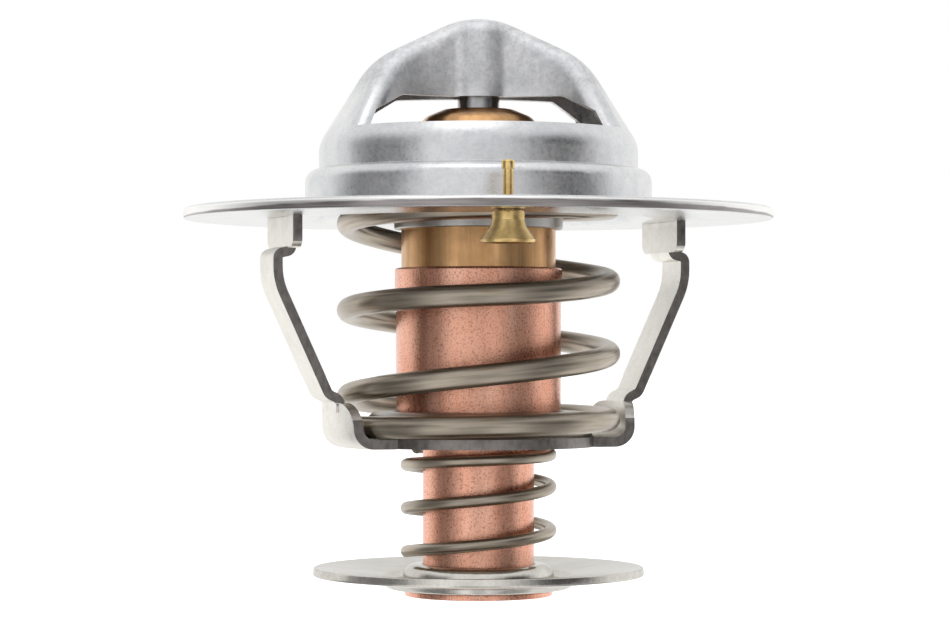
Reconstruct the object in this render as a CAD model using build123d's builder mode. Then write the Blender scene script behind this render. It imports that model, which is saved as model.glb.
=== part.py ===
from build123d import *
from build123d import SkipClean
import os
from math import atan2, cos, radians, sin, sqrt

# Engine thermostat with a bridge frame, a wax element and a by-pass valve, in millimetres.
# The origin is on the valve's axis, in the plane of the flange's underside. +Z points along the axis
# to the bridge, +X lies along the bridge, and the jiggle pin is on the -Y side.

os.makedirs("parts", exist_ok=True)

# ---- Frame: flange, stepped cup and bridge, pressed from one sheet ----
frame_sheet = 1.05
flange_dia = 56.0
bearing_band = 2.5
seat_cup_dia = 33.0
seat_cup_height = 4.75
neck_dia = 30.4
rim_height = 8.4
flange_inside_bend = 0.675
seat_inside_bend = 0.175
neck_inside_bend = 0.055
shoulder = 7.0
shoulder_bend = 2.6
knee = (9.86, 14.69)
knee_bend = 7.0
roof_slope = 25.5
crown_radius = 7.5
crown_flat_half = 0.6
leg_spread = 76.0
waist_half_width = 2.2
waist_blend = 1.3
fold_radius = 1.5
bridge_room = 40.0
window_top = 11.6
window_flat_half = 7.6
window_foot_half = 13.0
window_corner = 0.8
pocket_clearance = 0.05

# ---- Piston and what stands on it inside the element ----
piston_dia = 4.0
piston_chamfer = 0.5
piston_end = -3.0
running_clearance = 0.05
assembly_gap = 0.03
backup_disc_thick = 0.8
plug_length = 3.2

# ---- Guide, brass ----
guide_dia = 14.7
guide_top = 10.5
guide_crown_half = 3.3
guide_nose_drop = 0.75
guide_nose_half = 5.1
guide_nose_round = 1.5
guide_shoulder = 6.6
guide_shoulder_round = 1.5
guide_bottom = -10.5
guide_flare_height = 2.6
guide_flare_half = 4.6

# ---- Case, drawn copper ----
case_wall = 0.47
mouth_flare = 0.125
mouth_top = -4.6
mouth_height = 2.2
stem_dia = 10.6
case_shoulder = -21.2
shoulder_round = 1.0
lower_wall = 1.1
stem_wall = 0.9
foot_dia = 14.1
foot_thick = 0.62
foot_bottom = -35.75
stem_floor = 2.4

# ---- Diaphragm and wax ----
diaphragm_thick = 0.9
diaphragm_dome_height = 2.2

# ---- Main valve plate, pressed steel ----
valve_sheet = 0.9
valve_dia = 30.3
seat_gap = 0.1
valve_boss_dia = 21.6
valve_boss_drop = 1.15
collar_bottom = -0.9
collar_wall = 0.62

# ---- Main spring ----
main_spring_outer_dia = 27.0
main_wire = 2.1
main_turns = 3.67
main_flat_turns = 0.55
main_ramp_turns = 0.35
main_flat_pitch = 1.6
main_start_angle = 235.0
spring_gap = 0.03

# ---- Bracket that carries the main spring, pressed from one strip ----
bracket_sheet = 0.9
bracket_turn = 13.5
head_reach = 19.2
head_width = 8.5
head_drop = 2.95
head_corner = 1.0
arm_reach = 20.5
jog_drop = 0.5
jog_bend = 0.52
arm_width = 4.5
arm_bend_height = -5.95
arm_bend = 6.0
arm_foot_height = -16.5
arm_foot_reach = 15.6
kink_drop = 0.5
tab_width = 6.0
tab_rise = 0.4
slot_clearance = 0.1
strap_top = -20.7
strap_width = 10.0
strap_corner = 1.9
wall_outer_dia = 29.8
ear_top = -17.3
ear_round = 2.6
centre_disc_dia = 22.0
bracket_boss_dia = 21.6
bracket_boss_top = -18.2
case_hole_clearance = 0.3

# ---- By-pass valve plate and its spring ----
plate_sheet = 0.8
plate_dia = 31.5
plate_rim_top = -33.0
plate_dish = 0.75
pan_dia = 17.6
pan_wall_run = 0.7
plate_foot_gap = 0.06
stem_clearance = 0.1
hub_dia = 14.4
hub_top = -32.7
hub_bend = 0.8
bypass_spring_outer_dia = 14.9
bypass_wire = 1.15
bypass_turns = 2.9
bypass_flat_turns = 0.6
bypass_ramp_turns = 0.4
bypass_flat_pitch = 1.25
bypass_start_angle = 180.0

# ---- Jiggle pin: a rod with a bell-shaped weight ----
jiggle_reach = 23.0
jiggle_rod_dia = 0.92
jiggle_hole_clearance = 0.05
jiggle_head_dia = 1.16
jiggle_head_height = 0.8
jiggle_top = 4.35
bell_neck_dia = 2.9
bell_mouth_dia = 4.95
bell_gap = 0.1
bell_neck_height = 0.85
bell_height = 2.9
bell_recess = 0.6
bell_lip = 0.3
rivet_half = 0.75
rivet_height = 0.35

# ---- What follows from them ----
half_sheet = frame_sheet / 2
guide_half = guide_dia / 2
bore_half = piston_dia / 2 + running_clearance
seat_height = seat_cup_height - frame_sheet
valve_top = seat_height - seat_gap
valve_under = valve_top - valve_sheet
strap_bottom = strap_top - bracket_sheet
case_dia = guide_dia + 2 * (assembly_gap + case_wall)
mouth_dia = case_dia + 2 * mouth_flare
case_hole_half = case_dia / 2 + case_hole_clearance
foot_top = foot_bottom + foot_thick
stem_half = stem_dia / 2


def sheet_side(points, radii, distance):
    """The corners and corner radii of a bent sheet's face, distance to the left of its middle line."""
    spots = [Vector(*point) for point in points]
    ways = [(after - before).normalized() for before, after in zip(spots, spots[1:])]
    lefts = [Vector(-way.Y, way.X) for way in ways]
    corners = [spots[0] + lefts[0] * distance]
    bends = []
    for spot, radius, before, after in zip(spots[1:-1], radii, lefts, lefts[1:]):
        corners.append(spot + (before + after) * (distance / (1 + before.dot(after))))
        turn = before.X * after.Y - before.Y * after.X
        bends.append(radius - distance if turn > 0 else radius + distance)
    corners.append(spots[-1] + lefts[-1] * distance)
    return corners, bends


def sheet_outline(points, radii, thickness):
    """Draws the closed outline of a bent sheet's section into the open BuildLine."""
    left, left_bends = sheet_side(points, radii, thickness / 2)
    right, right_bends = sheet_side(points, radii, -thickness / 2)
    FilletPolyline(*left, radius=left_bends)
    FilletPolyline(*right, radius=right_bends)
    Line(left[0], right[0])
    Line(left[-1], right[-1])


def coil_points(mean_radius, bottom, top, turns, start, flat_low, flat_high, ramp, flat_pitch):
    """Points along a right-handed spring's wire, whose pitch rises from its flat ends to its open turns."""
    steps_a_turn = 14
    open_share = turns - flat_low - flat_high - (ramp / 2 if flat_low else 0) - ramp / 2
    open_pitch = flat_pitch + (top - bottom - flat_pitch * turns) / open_share
    steps = round(turns * steps_a_turn)
    finer = 20
    height = bottom
    points = []
    for step in range(steps + 1):
        turn = turns * step / steps
        angle = radians(start + 360 * turn)
        points.append((mean_radius * cos(angle), mean_radius * sin(angle), height))
        for part in range(finer):
            here = turns * (step + (part + 0.5) / finer) / steps
            from_low = (here - flat_low) / ramp if flat_low else 1
            from_high = (turns - flat_high - here) / ramp
            share = min(max(min(from_low, from_high), 0), 1)
            height += (flat_pitch + (open_pitch - flat_pitch) * share) * turns / steps / finer
    return points


# ---- Frame ----
crown_slope = radians(roof_slope)
crown_edge = crown_radius * sin(crown_slope)
crown_edge_height = knee[1] + (knee[0] - crown_edge) * sin(crown_slope) / cos(crown_slope)
crown_centre = crown_edge_height - crown_radius * cos(crown_slope)
frame_line = [
    (flange_dia / 2, half_sheet),
    (seat_cup_dia / 2 - half_sheet, half_sheet),
    (seat_cup_dia / 2 - half_sheet, seat_cup_height - half_sheet),
    (neck_dia / 2 - half_sheet, seat_cup_height - half_sheet),
    (neck_dia / 2 - half_sheet, shoulder),
    knee,
    (crown_edge, crown_edge_height),
]
frame_bends = [
    flange_inside_bend + half_sheet,
    seat_inside_bend + half_sheet,
    neck_inside_bend + half_sheet,
    shoulder_bend,
    knee_bend,
]


def turned_solid(distance):
    """The solid inside the frame's face that lies distance inwards of the sheet's middle line."""
    corners, bends = sheet_side(frame_line, frame_bends, distance)
    reach = crown_radius - distance
    flat_slope = atan2(crown_flat_half, crown_radius)
    crown_middle = (crown_slope + flat_slope) / 2
    crown_half_way = (reach * sin(crown_middle), crown_centre + reach * cos(crown_middle))
    crown_top = (reach * sin(flat_slope), crown_centre + reach * cos(flat_slope))
    base = corners[0].Y - frame_sheet
    with BuildPart() as body:
        with BuildSketch(Plane.YZ):
            with BuildLine():
                FilletPolyline(*corners, radius=bends)
                ThreePointArc(corners[-1], crown_half_way, crown_top)
                Polyline(crown_top, (0, crown_top[1]), (0, base), (flange_dia / 2, base), corners[0])
            make_face()
        revolve(axis=Axis.Z)
    return body.part


shell_outside = turned_solid(-half_sheet)
shell_inside = turned_solid(half_sheet)

leg_end_x = neck_dia / 2 * cos(radians(leg_spread / 2))
leg_end_y = neck_dia / 2 * sin(radians(leg_spread / 2))
skirt_sweep = (leg_end_x**2 + (leg_end_y - waist_half_width) ** 2) / (2 * (leg_end_y - waist_half_width))


def bridge_plan(inset):
    """The bridge's outline from above, inset by the given distance: a bow tie with the piston's pocket."""
    with BuildSketch(Plane.XY) as plan:
        Rectangle(neck_dia, neck_dia)
        with Locations((0, waist_half_width + skirt_sweep), (0, -waist_half_width - skirt_sweep)):
            Circle(skirt_sweep + inset, mode=Mode.SUBTRACT)
        Circle(piston_dia / 2 + pocket_clearance + frame_sheet - inset)
        fillet(plan.vertices().filter_by(lambda v: abs(v.X) < piston_dia), waist_blend + inset)
    return plan.sketch


def is_crease(edge):
    """True for an edge where the roof meets a skirt, rather than a seam of the turned surfaces."""
    middle = edge.center()
    over_the_pocket = middle.Z > knee[1] and abs(middle.Y) > waist_half_width
    return edge.geom_type == GeomType.BSPLINE or over_the_pocket


with BuildPart() as bridge_outside:
    add(shell_outside)
    with BuildSketch(Plane.XY.offset(rim_height)):
        add(bridge_plan(0))
    extrude(amount=bridge_room, mode=Mode.INTERSECT)
    fillet(bridge_outside.edges().filter_by(is_crease), fold_radius)

# The room under the bridge, with the window that opens it to the front and the back
with BuildPart() as bridge_hollow:
    with BuildSketch(Plane.XY.offset(rim_height)):
        add(bridge_plan(frame_sheet))
    extrude(amount=bridge_room)
    with BuildSketch(Plane.XZ) as window_face:
        Polygon(
            (-window_foot_half, rim_height),
            (-window_flat_half, window_top),
            (window_flat_half, window_top),
            (window_foot_half, rim_height),
            align=None,
        )
        fillet(window_face.vertices().group_by(Axis.Y)[-1], window_corner)
    extrude(amount=flange_dia / 2, both=True)
    add(shell_inside, mode=Mode.INTERSECT)

with BuildPart() as cup_hollow:
    add(shell_inside)
    split(bisect_by=Plane.XY.offset(rim_height), keep=Keep.BOTTOM)

# The band of the flange that bears on the housing, kept as a face of its own on both sides
with BuildPart() as flange_band:
    with BuildSketch(Plane.XY):
        Circle(flange_dia / 2)
        Circle(flange_dia / 2 - bearing_band, mode=Mode.SUBTRACT)
    extrude(amount=frame_sheet)

with BuildPart() as frame:
    add(shell_outside)
    split(bisect_by=Plane.XY.offset(rim_height), keep=Keep.BOTTOM)
    add(bridge_outside.part)
    add(cup_hollow.part, mode=Mode.SUBTRACT)
    add(bridge_hollow.part, mode=Mode.SUBTRACT)
    with BuildSketch(Plane.XY.offset(-frame_sheet)):
        with PolarLocations(head_reach, 2, start_angle=bracket_turn):
            Rectangle(bracket_sheet + 2 * slot_clearance, tab_width + 2 * slot_clearance)
        with Locations((0, -jiggle_reach)):
            Circle(jiggle_rod_dia / 2 + jiggle_hole_clearance)
    extrude(amount=3 * frame_sheet, mode=Mode.SUBTRACT)
    with SkipClean():
        add(flange_band.part)
frame.part.label = "frame"
export_step(frame.part, "parts/frame.step")

# ---- Piston: stands in the bridge's pocket and reaches down into the guide ----
piston_half = piston_dia / 2
pocket_reach = crown_radius - half_sheet
piston_top = crown_centre + sqrt(pocket_reach**2 - (piston_half - piston_chamfer) ** 2) - assembly_gap
with BuildPart() as piston:
    with BuildSketch(Plane.XY.offset(piston_end)):
        Circle(piston_half)
    extrude(amount=piston_top - piston_end)
    chamfer(piston.edges().sort_by(Axis.Z)[-1], piston_chamfer)
    chamfer(piston.edges().group_by(Axis.Z)[0], piston_chamfer / 2)
piston.part.label = "piston"
export_step(piston.part, "parts/piston.step")

# ---- Backup disc and rubber plug: stacked under the piston in the guide's bore ----
backup_disc_top = piston_end - assembly_gap
with BuildPart() as backup_disc:
    with BuildSketch(Plane.XY.offset(backup_disc_top - backup_disc_thick)):
        Circle(piston_half)
    extrude(amount=backup_disc_thick)
backup_disc.part.label = "backup_disc"
export_step(backup_disc.part, "parts/backup_disc.step")

plug_top = backup_disc_top - backup_disc_thick - assembly_gap
with BuildPart() as rubber_plug:
    with BuildSketch(Plane.XY.offset(plug_top - plug_length)):
        Circle(piston_half)
    extrude(amount=plug_length)
    fillet(rubber_plug.edges().group_by(Axis.Z)[0], piston_half / 2)
rubber_plug.part.label = "rubber_plug"
export_step(rubber_plug.part, "parts/rubber_plug.step")

# ---- Guide: turned brass with a crowned nose, a bore for the piston and a flare at its foot ----
nose_height = guide_top - guide_nose_drop
with BuildPart() as guide:
    with BuildSketch(Plane.XZ):
        with BuildLine():
            Line((bore_half, guide_bottom), (bore_half, guide_top))
            Line((bore_half, guide_top), (guide_crown_half, guide_top))
            FilletPolyline(
                (guide_crown_half, guide_top),
                (guide_nose_half, nose_height),
                (guide_half, guide_shoulder),
                (guide_half, guide_bottom),
                radius=[guide_nose_round, guide_shoulder_round],
            )
            Line((guide_half, guide_bottom), (bore_half, guide_bottom))
        make_face()
        with BuildLine():
            Polyline(
                (bore_half, guide_bottom),
                (guide_flare_half, guide_bottom),
                (bore_half, guide_bottom + guide_flare_height),
                close=True,
            )
        make_face(mode=Mode.SUBTRACT)
    revolve(axis=Axis.Z)
guide.part.label = "guide"
export_step(guide.part, "parts/guide.step")

# ---- Diaphragm: a rubber disc clamped under the guide, domed into its flare ----
diaphragm_top = guide_bottom - assembly_gap
case_bore_half = guide_half + assembly_gap
dome_scale = diaphragm_dome_height / guide_flare_height
dome_foot = guide_flare_half - assembly_gap
dome_crown = dome_foot - (guide_flare_half - bore_half) * dome_scale
with BuildPart() as diaphragm:
    with BuildSketch(Plane.XZ):
        with BuildLine():
            Polyline(
                (0, diaphragm_top - diaphragm_thick),
                (guide_half, diaphragm_top - diaphragm_thick),
                (guide_half, diaphragm_top),
                (dome_foot, diaphragm_top),
                (dome_crown, diaphragm_top + diaphragm_dome_height),
                (0, diaphragm_top + diaphragm_dome_height),
                close=True,
            )
        make_face()
    revolve(axis=Axis.Z)
diaphragm.part.label = "diaphragm"
export_step(diaphragm.part, "parts/diaphragm.step")

# ---- Case: drawn copper with a rolled mouth, a shoulder, a stem and a headed foot ----
wax_top = diaphragm_top - diaphragm_thick - assembly_gap
wax_half = case_dia / 2 - lower_wall
stem_bore_half = stem_half - stem_wall
case_floor = case_shoulder + lower_wall
stem_bore_bottom = foot_bottom + stem_floor
with BuildPart() as case:
    with BuildSketch(Plane.XZ) as case_section:
        with BuildLine():
            Polyline(
                (0, foot_bottom),
                (foot_dia / 2, foot_bottom),
                (foot_dia / 2, foot_top),
                (stem_half, foot_top),
                (stem_half, case_shoulder),
                (case_dia / 2, case_shoulder),
                (case_dia / 2, mouth_top - mouth_height),
                (mouth_dia / 2, mouth_top - mouth_height),
                (mouth_dia / 2, mouth_top),
                (case_bore_half, mouth_top),
                (case_bore_half, wax_top),
                (wax_half, wax_top),
                (wax_half, case_floor),
                (stem_bore_half, case_floor),
                (stem_bore_half, stem_bore_bottom),
                (0, stem_bore_bottom),
                close=True,
            )
        make_face()
        outer_shoulder = case_section.vertices().filter_by(
            lambda v: abs(v.Y - case_shoulder) < 0.01 and abs(v.X - case_dia / 2) < 0.01
        )
        fillet(outer_shoulder, shoulder_round)
        foot_rim = case_section.vertices().filter_by(
            lambda v: abs(v.X - foot_dia / 2) < 0.01 and v.Y < foot_top + 0.01
        )
        fillet(foot_rim, foot_thick / 3)
    revolve(axis=Axis.Z)
case.part.label = "case"
export_step(case.part, "parts/case.step")

# ---- Wax charge: fills the case below the diaphragm ----
with BuildPart() as wax:
    with BuildSketch(Plane.XZ):
        with BuildLine():
            Polyline(
                (0, stem_bore_bottom + assembly_gap),
                (stem_bore_half - assembly_gap, stem_bore_bottom + assembly_gap),
                (stem_bore_half - assembly_gap, case_floor + assembly_gap),
                (wax_half - assembly_gap, case_floor + assembly_gap),
                (wax_half - assembly_gap, wax_top - assembly_gap),
                (0, wax_top - assembly_gap),
                close=True,
            )
        make_face()
    revolve(axis=Axis.Z)
wax.part.label = "wax"
export_step(wax.part, "parts/wax.step")

# ---- Main valve plate: pressed disc with a boss for the spring and a collar on the guide ----
collar_half = guide_half + assembly_gap + collar_wall / 2
plate_middle = valve_top - valve_sheet / 2
boss_middle = plate_middle - valve_boss_drop
boss_wall = valve_boss_dia / 2 - valve_sheet / 2
valve_line = [
    (valve_dia / 2, plate_middle),
    (boss_wall + valve_boss_drop / 2, plate_middle),
    (boss_wall - valve_boss_drop / 2, boss_middle),
    (guide_half, boss_middle),
]
with BuildPart() as valve_plate:
    with BuildSketch(Plane.XZ):
        with BuildLine():
            sheet_outline(valve_line, [valve_sheet, valve_sheet], valve_sheet)
        make_face()
    revolve(axis=Axis.Z)
    with BuildSketch(Plane.XY.offset(collar_bottom)):
        Circle(collar_half + collar_wall / 2)
    extrude(amount=boss_middle - collar_bottom)
    collar_rings = valve_plate.edges().filter_by(
        lambda e: e.geom_type == GeomType.CIRCLE and abs(e.radius - collar_half - collar_wall / 2) < 0.01
    )
    fillet(collar_rings.sort_by(Axis.Z)[-1], collar_wall)
    with BuildSketch(Plane.XY.offset(collar_bottom)):
        Circle(guide_half + assembly_gap)
    extrude(amount=valve_top - collar_bottom, mode=Mode.SUBTRACT)
valve_plate.part.label = "valve_plate"
export_step(valve_plate.part, "parts/valve_plate.step")

# ---- Main spring: right-handed, with a flat turn at each end ----
main_mean_half = (main_spring_outer_dia - main_wire) / 2
main_points = coil_points(
    mean_radius=main_mean_half,
    bottom=strap_top + main_wire / 2 + spring_gap,
    top=valve_under - main_wire / 2 - spring_gap,
    turns=main_turns,
    start=main_start_angle,
    flat_low=main_flat_turns,
    flat_high=main_flat_turns,
    ramp=main_ramp_turns,
    flat_pitch=main_flat_pitch,
)
with BuildPart() as main_spring:
    with BuildLine() as main_coil:
        Spline(*main_points)
    with BuildSketch(Plane(main_coil.line @ 0, z_dir=main_coil.line % 0)):
        Circle(main_wire / 2)
    sweep(path=main_coil.line, is_frenet=True)
main_spring.part.label = "main_spring"
export_step(main_spring.part, "parts/main_spring.step")

# ---- Bracket: strip bent up from a pierced strap, with curved walls that hold the spring's foot ----
wall_outer = wall_outer_dia / 2
strap_middle = strap_top - bracket_sheet / 2
boss_crest = bracket_boss_top - bracket_sheet / 2
bracket_boss_wall = bracket_boss_dia / 2 - bracket_sheet / 2
wall_middle = wall_outer - bracket_sheet / 2
strap_line = [
    (case_hole_half, boss_crest),
    (bracket_boss_wall, boss_crest),
    (bracket_boss_wall, strap_middle),
    (wall_middle, strap_middle),
    (wall_middle, ear_top),
]
strap_bends = [bracket_sheet, bracket_sheet, strap_corner - bracket_sheet / 2]
arm_line = [
    (wall_middle, ear_top - bracket_sheet),
    (wall_middle, arm_foot_height - kink_drop),
    (arm_foot_reach, arm_foot_height),
    (arm_reach, arm_bend_height),
    (arm_reach, -head_drop - jog_drop),
    (head_reach, -head_drop - bracket_sheet / 4),
    (head_reach, -head_drop / 2),
]
arm_bends = [bracket_sheet, bracket_sheet, arm_bend, jog_bend, jog_bend]
turn = radians(bracket_turn)
along_arms = Vector(cos(turn), sin(turn), 0)
across_arms = Vector(-sin(turn), cos(turn), 0)
bracket_side = Plane(origin=(0, 0, 0), x_dir=along_arms, z_dir=-across_arms)
bracket_end = Plane(origin=(0, 0, 0), x_dir=across_arms, z_dir=along_arms)

with BuildPart() as strap_room:
    with BuildSketch(bracket_end) as strap_face:
        with Locations((0, strap_bottom)):
            Rectangle(strap_width, ear_top - strap_bottom, align=(Align.CENTER, Align.MIN))
        fillet(strap_face.vertices().group_by(Axis.Y)[-1], ear_round)
    extrude(amount=wall_outer_dia, both=True)
    with BuildSketch(Plane.XY.offset(strap_bottom)):
        Circle(centre_disc_dia / 2)
    extrude(amount=bracket_boss_top - strap_bottom)

with BuildPart() as bracket:
    with BuildSketch(Plane.XZ):
        with BuildLine():
            sheet_outline(strap_line, strap_bends, bracket_sheet)
        make_face()
    revolve(axis=Axis.Z)
    add(strap_room.part, mode=Mode.INTERSECT)
    with BuildSketch(bracket_side):
        with BuildLine():
            sheet_outline(arm_line, arm_bends, bracket_sheet)
        make_face()
    extrude(amount=arm_width / 2, both=True)
    with BuildSketch(bracket_end.offset(head_reach)) as head_face:
        with Locations((0, -head_drop / 2)):
            Rectangle(head_width, head_drop)
        fillet(head_face.vertices().group_by(Axis.Y)[0], head_corner)
        with Locations((0, (frame_sheet + tab_rise) / 2)):
            Rectangle(tab_width, frame_sheet + tab_rise)
    extrude(amount=bracket_sheet / 2, both=True)
    with BuildSketch(bracket_end):
        with Locations((0, strap_bottom)):
            Rectangle(flange_dia, flange_dia)
    extrude(amount=-flange_dia, mode=Mode.SUBTRACT)
    mirror(about=bracket_end)
bracket.part.label = "bracket"
export_step(bracket.part, "parts/bracket.step")

# ---- By-pass valve plate: a dished disc whose pan rises to a hub that carries the spring ----
stem_hole_half = stem_half + stem_clearance
pan_floor_middle = foot_top + plate_foot_gap + plate_sheet / 2
pan_half = pan_dia / 2
hub_middle = hub_dia / 2 - plate_sheet / 2
rim_middle = plate_rim_top - plate_sheet / 2
bypass_line = [
    (plate_dia / 2, rim_middle),
    (pan_half + pan_wall_run / 2, rim_middle - plate_dish),
    (pan_half - pan_wall_run / 2, pan_floor_middle),
    (hub_middle, pan_floor_middle),
    (hub_middle, hub_top - plate_sheet / 2),
    (stem_hole_half, hub_top - plate_sheet / 2),
]
pan_bend = plate_sheet / 2
bypass_bends = [pan_bend, pan_bend, pan_bend, hub_bend]
with BuildPart() as bypass_plate:
    with BuildSketch(Plane.XZ):
        with BuildLine():
            sheet_outline(bypass_line, bypass_bends, plate_sheet)
        make_face()
    revolve(axis=Axis.Z)
bypass_plate.part.label = "bypass_plate"
export_step(bypass_plate.part, "parts/bypass_plate.step")

# ---- By-pass spring: right-handed, closed against the case's shoulder and cut open below ----
bypass_mean_half = (bypass_spring_outer_dia - bypass_wire) / 2
bypass_points = coil_points(
    mean_radius=bypass_mean_half,
    bottom=hub_top + bypass_wire / 2 + spring_gap,
    top=case_shoulder - bypass_wire / 2 - spring_gap,
    turns=bypass_turns,
    start=bypass_start_angle,
    flat_low=0,
    flat_high=bypass_flat_turns,
    ramp=bypass_ramp_turns,
    flat_pitch=bypass_flat_pitch,
)
with BuildPart() as bypass_spring:
    with BuildLine() as bypass_coil:
        Spline(*bypass_points)
    with BuildSketch(Plane(bypass_coil.line @ 0, z_dir=bypass_coil.line % 0)):
        Circle(bypass_wire / 2)
    sweep(path=bypass_coil.line, is_frenet=True)
bypass_spring.part.label = "bypass_spring"
export_step(bypass_spring.part, "parts/bypass_spring.step")

# ---- Jiggle pin: a headed rod through the flange, riveted into a bell-shaped weight ----
rod_half = jiggle_rod_dia / 2
head_bottom = jiggle_top - jiggle_head_height
bell_top = -bell_gap
bell_bottom = bell_top - bell_height
rod_bottom = bell_bottom + bell_recess - rivet_height
jiggle_place = Plane.XY.offset(rod_bottom).shift_origin((0, -jiggle_reach, rod_bottom))
with BuildPart() as jiggle_rod:
    with BuildSketch(jiggle_place):
        Circle(rod_half)
    extrude(amount=head_bottom - rod_bottom)
    with BuildSketch(jiggle_place.offset(head_bottom - rod_bottom)):
        Circle(jiggle_head_dia / 2)
    extrude(amount=jiggle_head_height)
    fillet(jiggle_rod.edges().sort_by(Axis.Z)[-1], jiggle_head_dia / 5)
    with BuildSketch(jiggle_place):
        Circle(rivet_half)
    extrude(amount=rivet_height - assembly_gap, taper=20)
jiggle_rod.part.label = "jiggle_rod"
export_step(jiggle_rod.part, "parts/jiggle_rod.step")

neck_half = bell_neck_dia / 2
mouth_half = bell_mouth_dia / 2
neck_foot = bell_top - bell_neck_height
bell_section_plane = Plane.XZ.offset(jiggle_reach)
with BuildPart() as jiggle_weight:
    with BuildSketch(bell_section_plane):
        with BuildLine():
            Line((rod_half + assembly_gap, bell_top), (neck_half, bell_top))
            Line((neck_half, bell_top), (neck_half, neck_foot))
            Spline(
                (neck_half, neck_foot),
                (mouth_half - bell_lip, bell_bottom + 1.5 * bell_lip),
                (mouth_half, bell_bottom + bell_lip),
                tangents=[(0, -1), (1, -0.4)],
            )
            Polyline(
                (mouth_half, bell_bottom + bell_lip),
                (mouth_half - bell_lip / 2, bell_bottom),
                (rivet_half + bell_lip, bell_bottom + bell_recess),
            )
            Line(
                (rivet_half + bell_lip, bell_bottom + bell_recess),
                (rod_half + assembly_gap, bell_bottom + bell_recess),
            )
            Line((rod_half + assembly_gap, bell_bottom + bell_recess), (rod_half + assembly_gap, bell_top))
        make_face()
    revolve(axis=Axis((0, -jiggle_reach, 0), (0, 0, 1)))
jiggle_weight.part.label = "jiggle_weight"
export_step(jiggle_weight.part, "parts/jiggle_weight.step")
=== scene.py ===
from math import cos, pi, radians, sin, tan

import bmesh
import bpy
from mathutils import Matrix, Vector


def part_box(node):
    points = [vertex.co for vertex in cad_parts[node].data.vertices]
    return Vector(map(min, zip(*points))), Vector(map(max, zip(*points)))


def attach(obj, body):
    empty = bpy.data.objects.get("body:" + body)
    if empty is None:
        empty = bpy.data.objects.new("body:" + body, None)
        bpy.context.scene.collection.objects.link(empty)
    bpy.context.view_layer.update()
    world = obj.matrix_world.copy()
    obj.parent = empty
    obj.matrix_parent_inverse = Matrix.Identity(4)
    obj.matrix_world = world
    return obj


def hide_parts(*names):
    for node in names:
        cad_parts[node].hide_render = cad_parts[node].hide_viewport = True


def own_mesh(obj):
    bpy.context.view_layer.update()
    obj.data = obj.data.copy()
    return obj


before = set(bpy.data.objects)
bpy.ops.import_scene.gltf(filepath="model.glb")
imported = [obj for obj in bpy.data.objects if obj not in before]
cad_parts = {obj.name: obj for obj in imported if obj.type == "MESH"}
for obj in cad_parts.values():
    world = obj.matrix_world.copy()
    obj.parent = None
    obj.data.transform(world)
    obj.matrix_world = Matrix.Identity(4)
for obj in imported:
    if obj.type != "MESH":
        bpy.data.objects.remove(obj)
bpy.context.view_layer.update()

# Engine thermostat: flanged frame with a bridge, wax element, main valve on its spring,
# by-pass valve plate and jiggle pin. Sizes are in millimetres until a mesh is made.
MM = 0.001

# ---- Sizes that the pieces share with the CAD model ----
flange_half = 28.0
flange_sheet = 1.05
window_low = 8.5
window_high = 11.8
drawn_height = 11.0

bracket_turn = radians(13.5)
strap_edge_half = 11
strap_edge_top = -20
boss_half = 10.95
boss_low = -20.6
foot_seam_low = -18.3
foot_seam_high = -17.3
foot_seam_half = 2.4

piston_half = 2.0
piston_low = -3.0
piston_high = 17.5
piston_chamfer = 0.5
piston_end_zone = 16.99

bore_half = 2.05
guide_half = 7.35
guide_top = 10.5
guide_bottom = -10.5

case_half = 7.85
mouth_bore = 7.38
mouth_half = 7.975
mouth_top = -4.6
case_floor = -12.5
case_step = -21.2
stem_half = 5.3
foot_half = 7.05
foot_top = -35.13
foot_bottom = -35.75

valve_sheet = 0.62
bypass_sheet = 0.8

pin_centre = (0, -23)
rod_half = 0.46
rod_end_half = 0.75
rod_head_half = 0.58
rod_low = -2.75
rod_high = 4.35
bell_bore = 0.49
bell_neck_half = 1.45

main_valve_travel = 8.0


# =====================================================================================
# Shapes
# =====================================================================================
bend_step = radians(7)
sheet_edge_round = 0.16


def bent(points, radii):
    """A polyline whose inner corners are rounded by the given radii."""
    spots = [Vector(point) for point in points]
    line = [spots[0]]
    for before, here, after, radius in zip(spots, spots[1:], spots[2:], radii):
        way_in = (here - before).normalized()
        way_out = (after - here).normalized()
        turn = way_in.angle_signed(way_out)
        if radius <= 0 or abs(turn) < 1e-4:
            line.append(here)
            continue
        reach = radius * tan(abs(turn) / 2)
        start = here - way_in * reach
        inward = Vector((-way_in.y, way_in.x)) * (-1 if turn > 0 else 1)
        centre = start + inward * radius
        count = max(2, round(abs(turn) / bend_step))
        arm = start - centre
        for number in range(count + 1):
            angle = -turn * number / count
            line.append(centre + Vector((
                arm.x * cos(angle) - arm.y * sin(angle),
                arm.x * sin(angle) + arm.y * cos(angle),
            )))
    line.append(spots[-1])
    return line


def sheet_section(points, radii, thickness):
    """The closed outline of a bent sheet's section, with slightly rounded cut edges."""
    spots = [Vector(point) for point in points]
    ways = [(after - before).normalized() for before, after in zip(spots, spots[1:])]
    lefts = [Vector((-way.y, way.x)) for way in ways]
    sides = []
    for distance in (thickness / 2, -thickness / 2):
        corners = [spots[0] + lefts[0] * distance]
        bends = []
        for spot, radius, before, after in zip(spots[1:-1], radii, lefts, lefts[1:]):
            corners.append(spot + (before + after) * (distance / (1 + before.dot(after))))
            turn = before.x * after.y - before.y * after.x
            bends.append(radius - distance if turn > 0 else radius + distance)
        corners.append(spots[-1] + lefts[-1] * distance)
        sides.append((corners, bends))
    (left, left_bends), (right, right_bends) = sides
    ring = left + right[::-1]
    cut = [sheet_edge_round]
    # The ring is closed: its first and last corners are met again at its ends.
    ring_radii = cut + left_bends + cut + cut + right_bends[::-1] + cut
    return bent([ring[-1]] + ring + [ring[0]], ring_radii)[1:-1]


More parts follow.
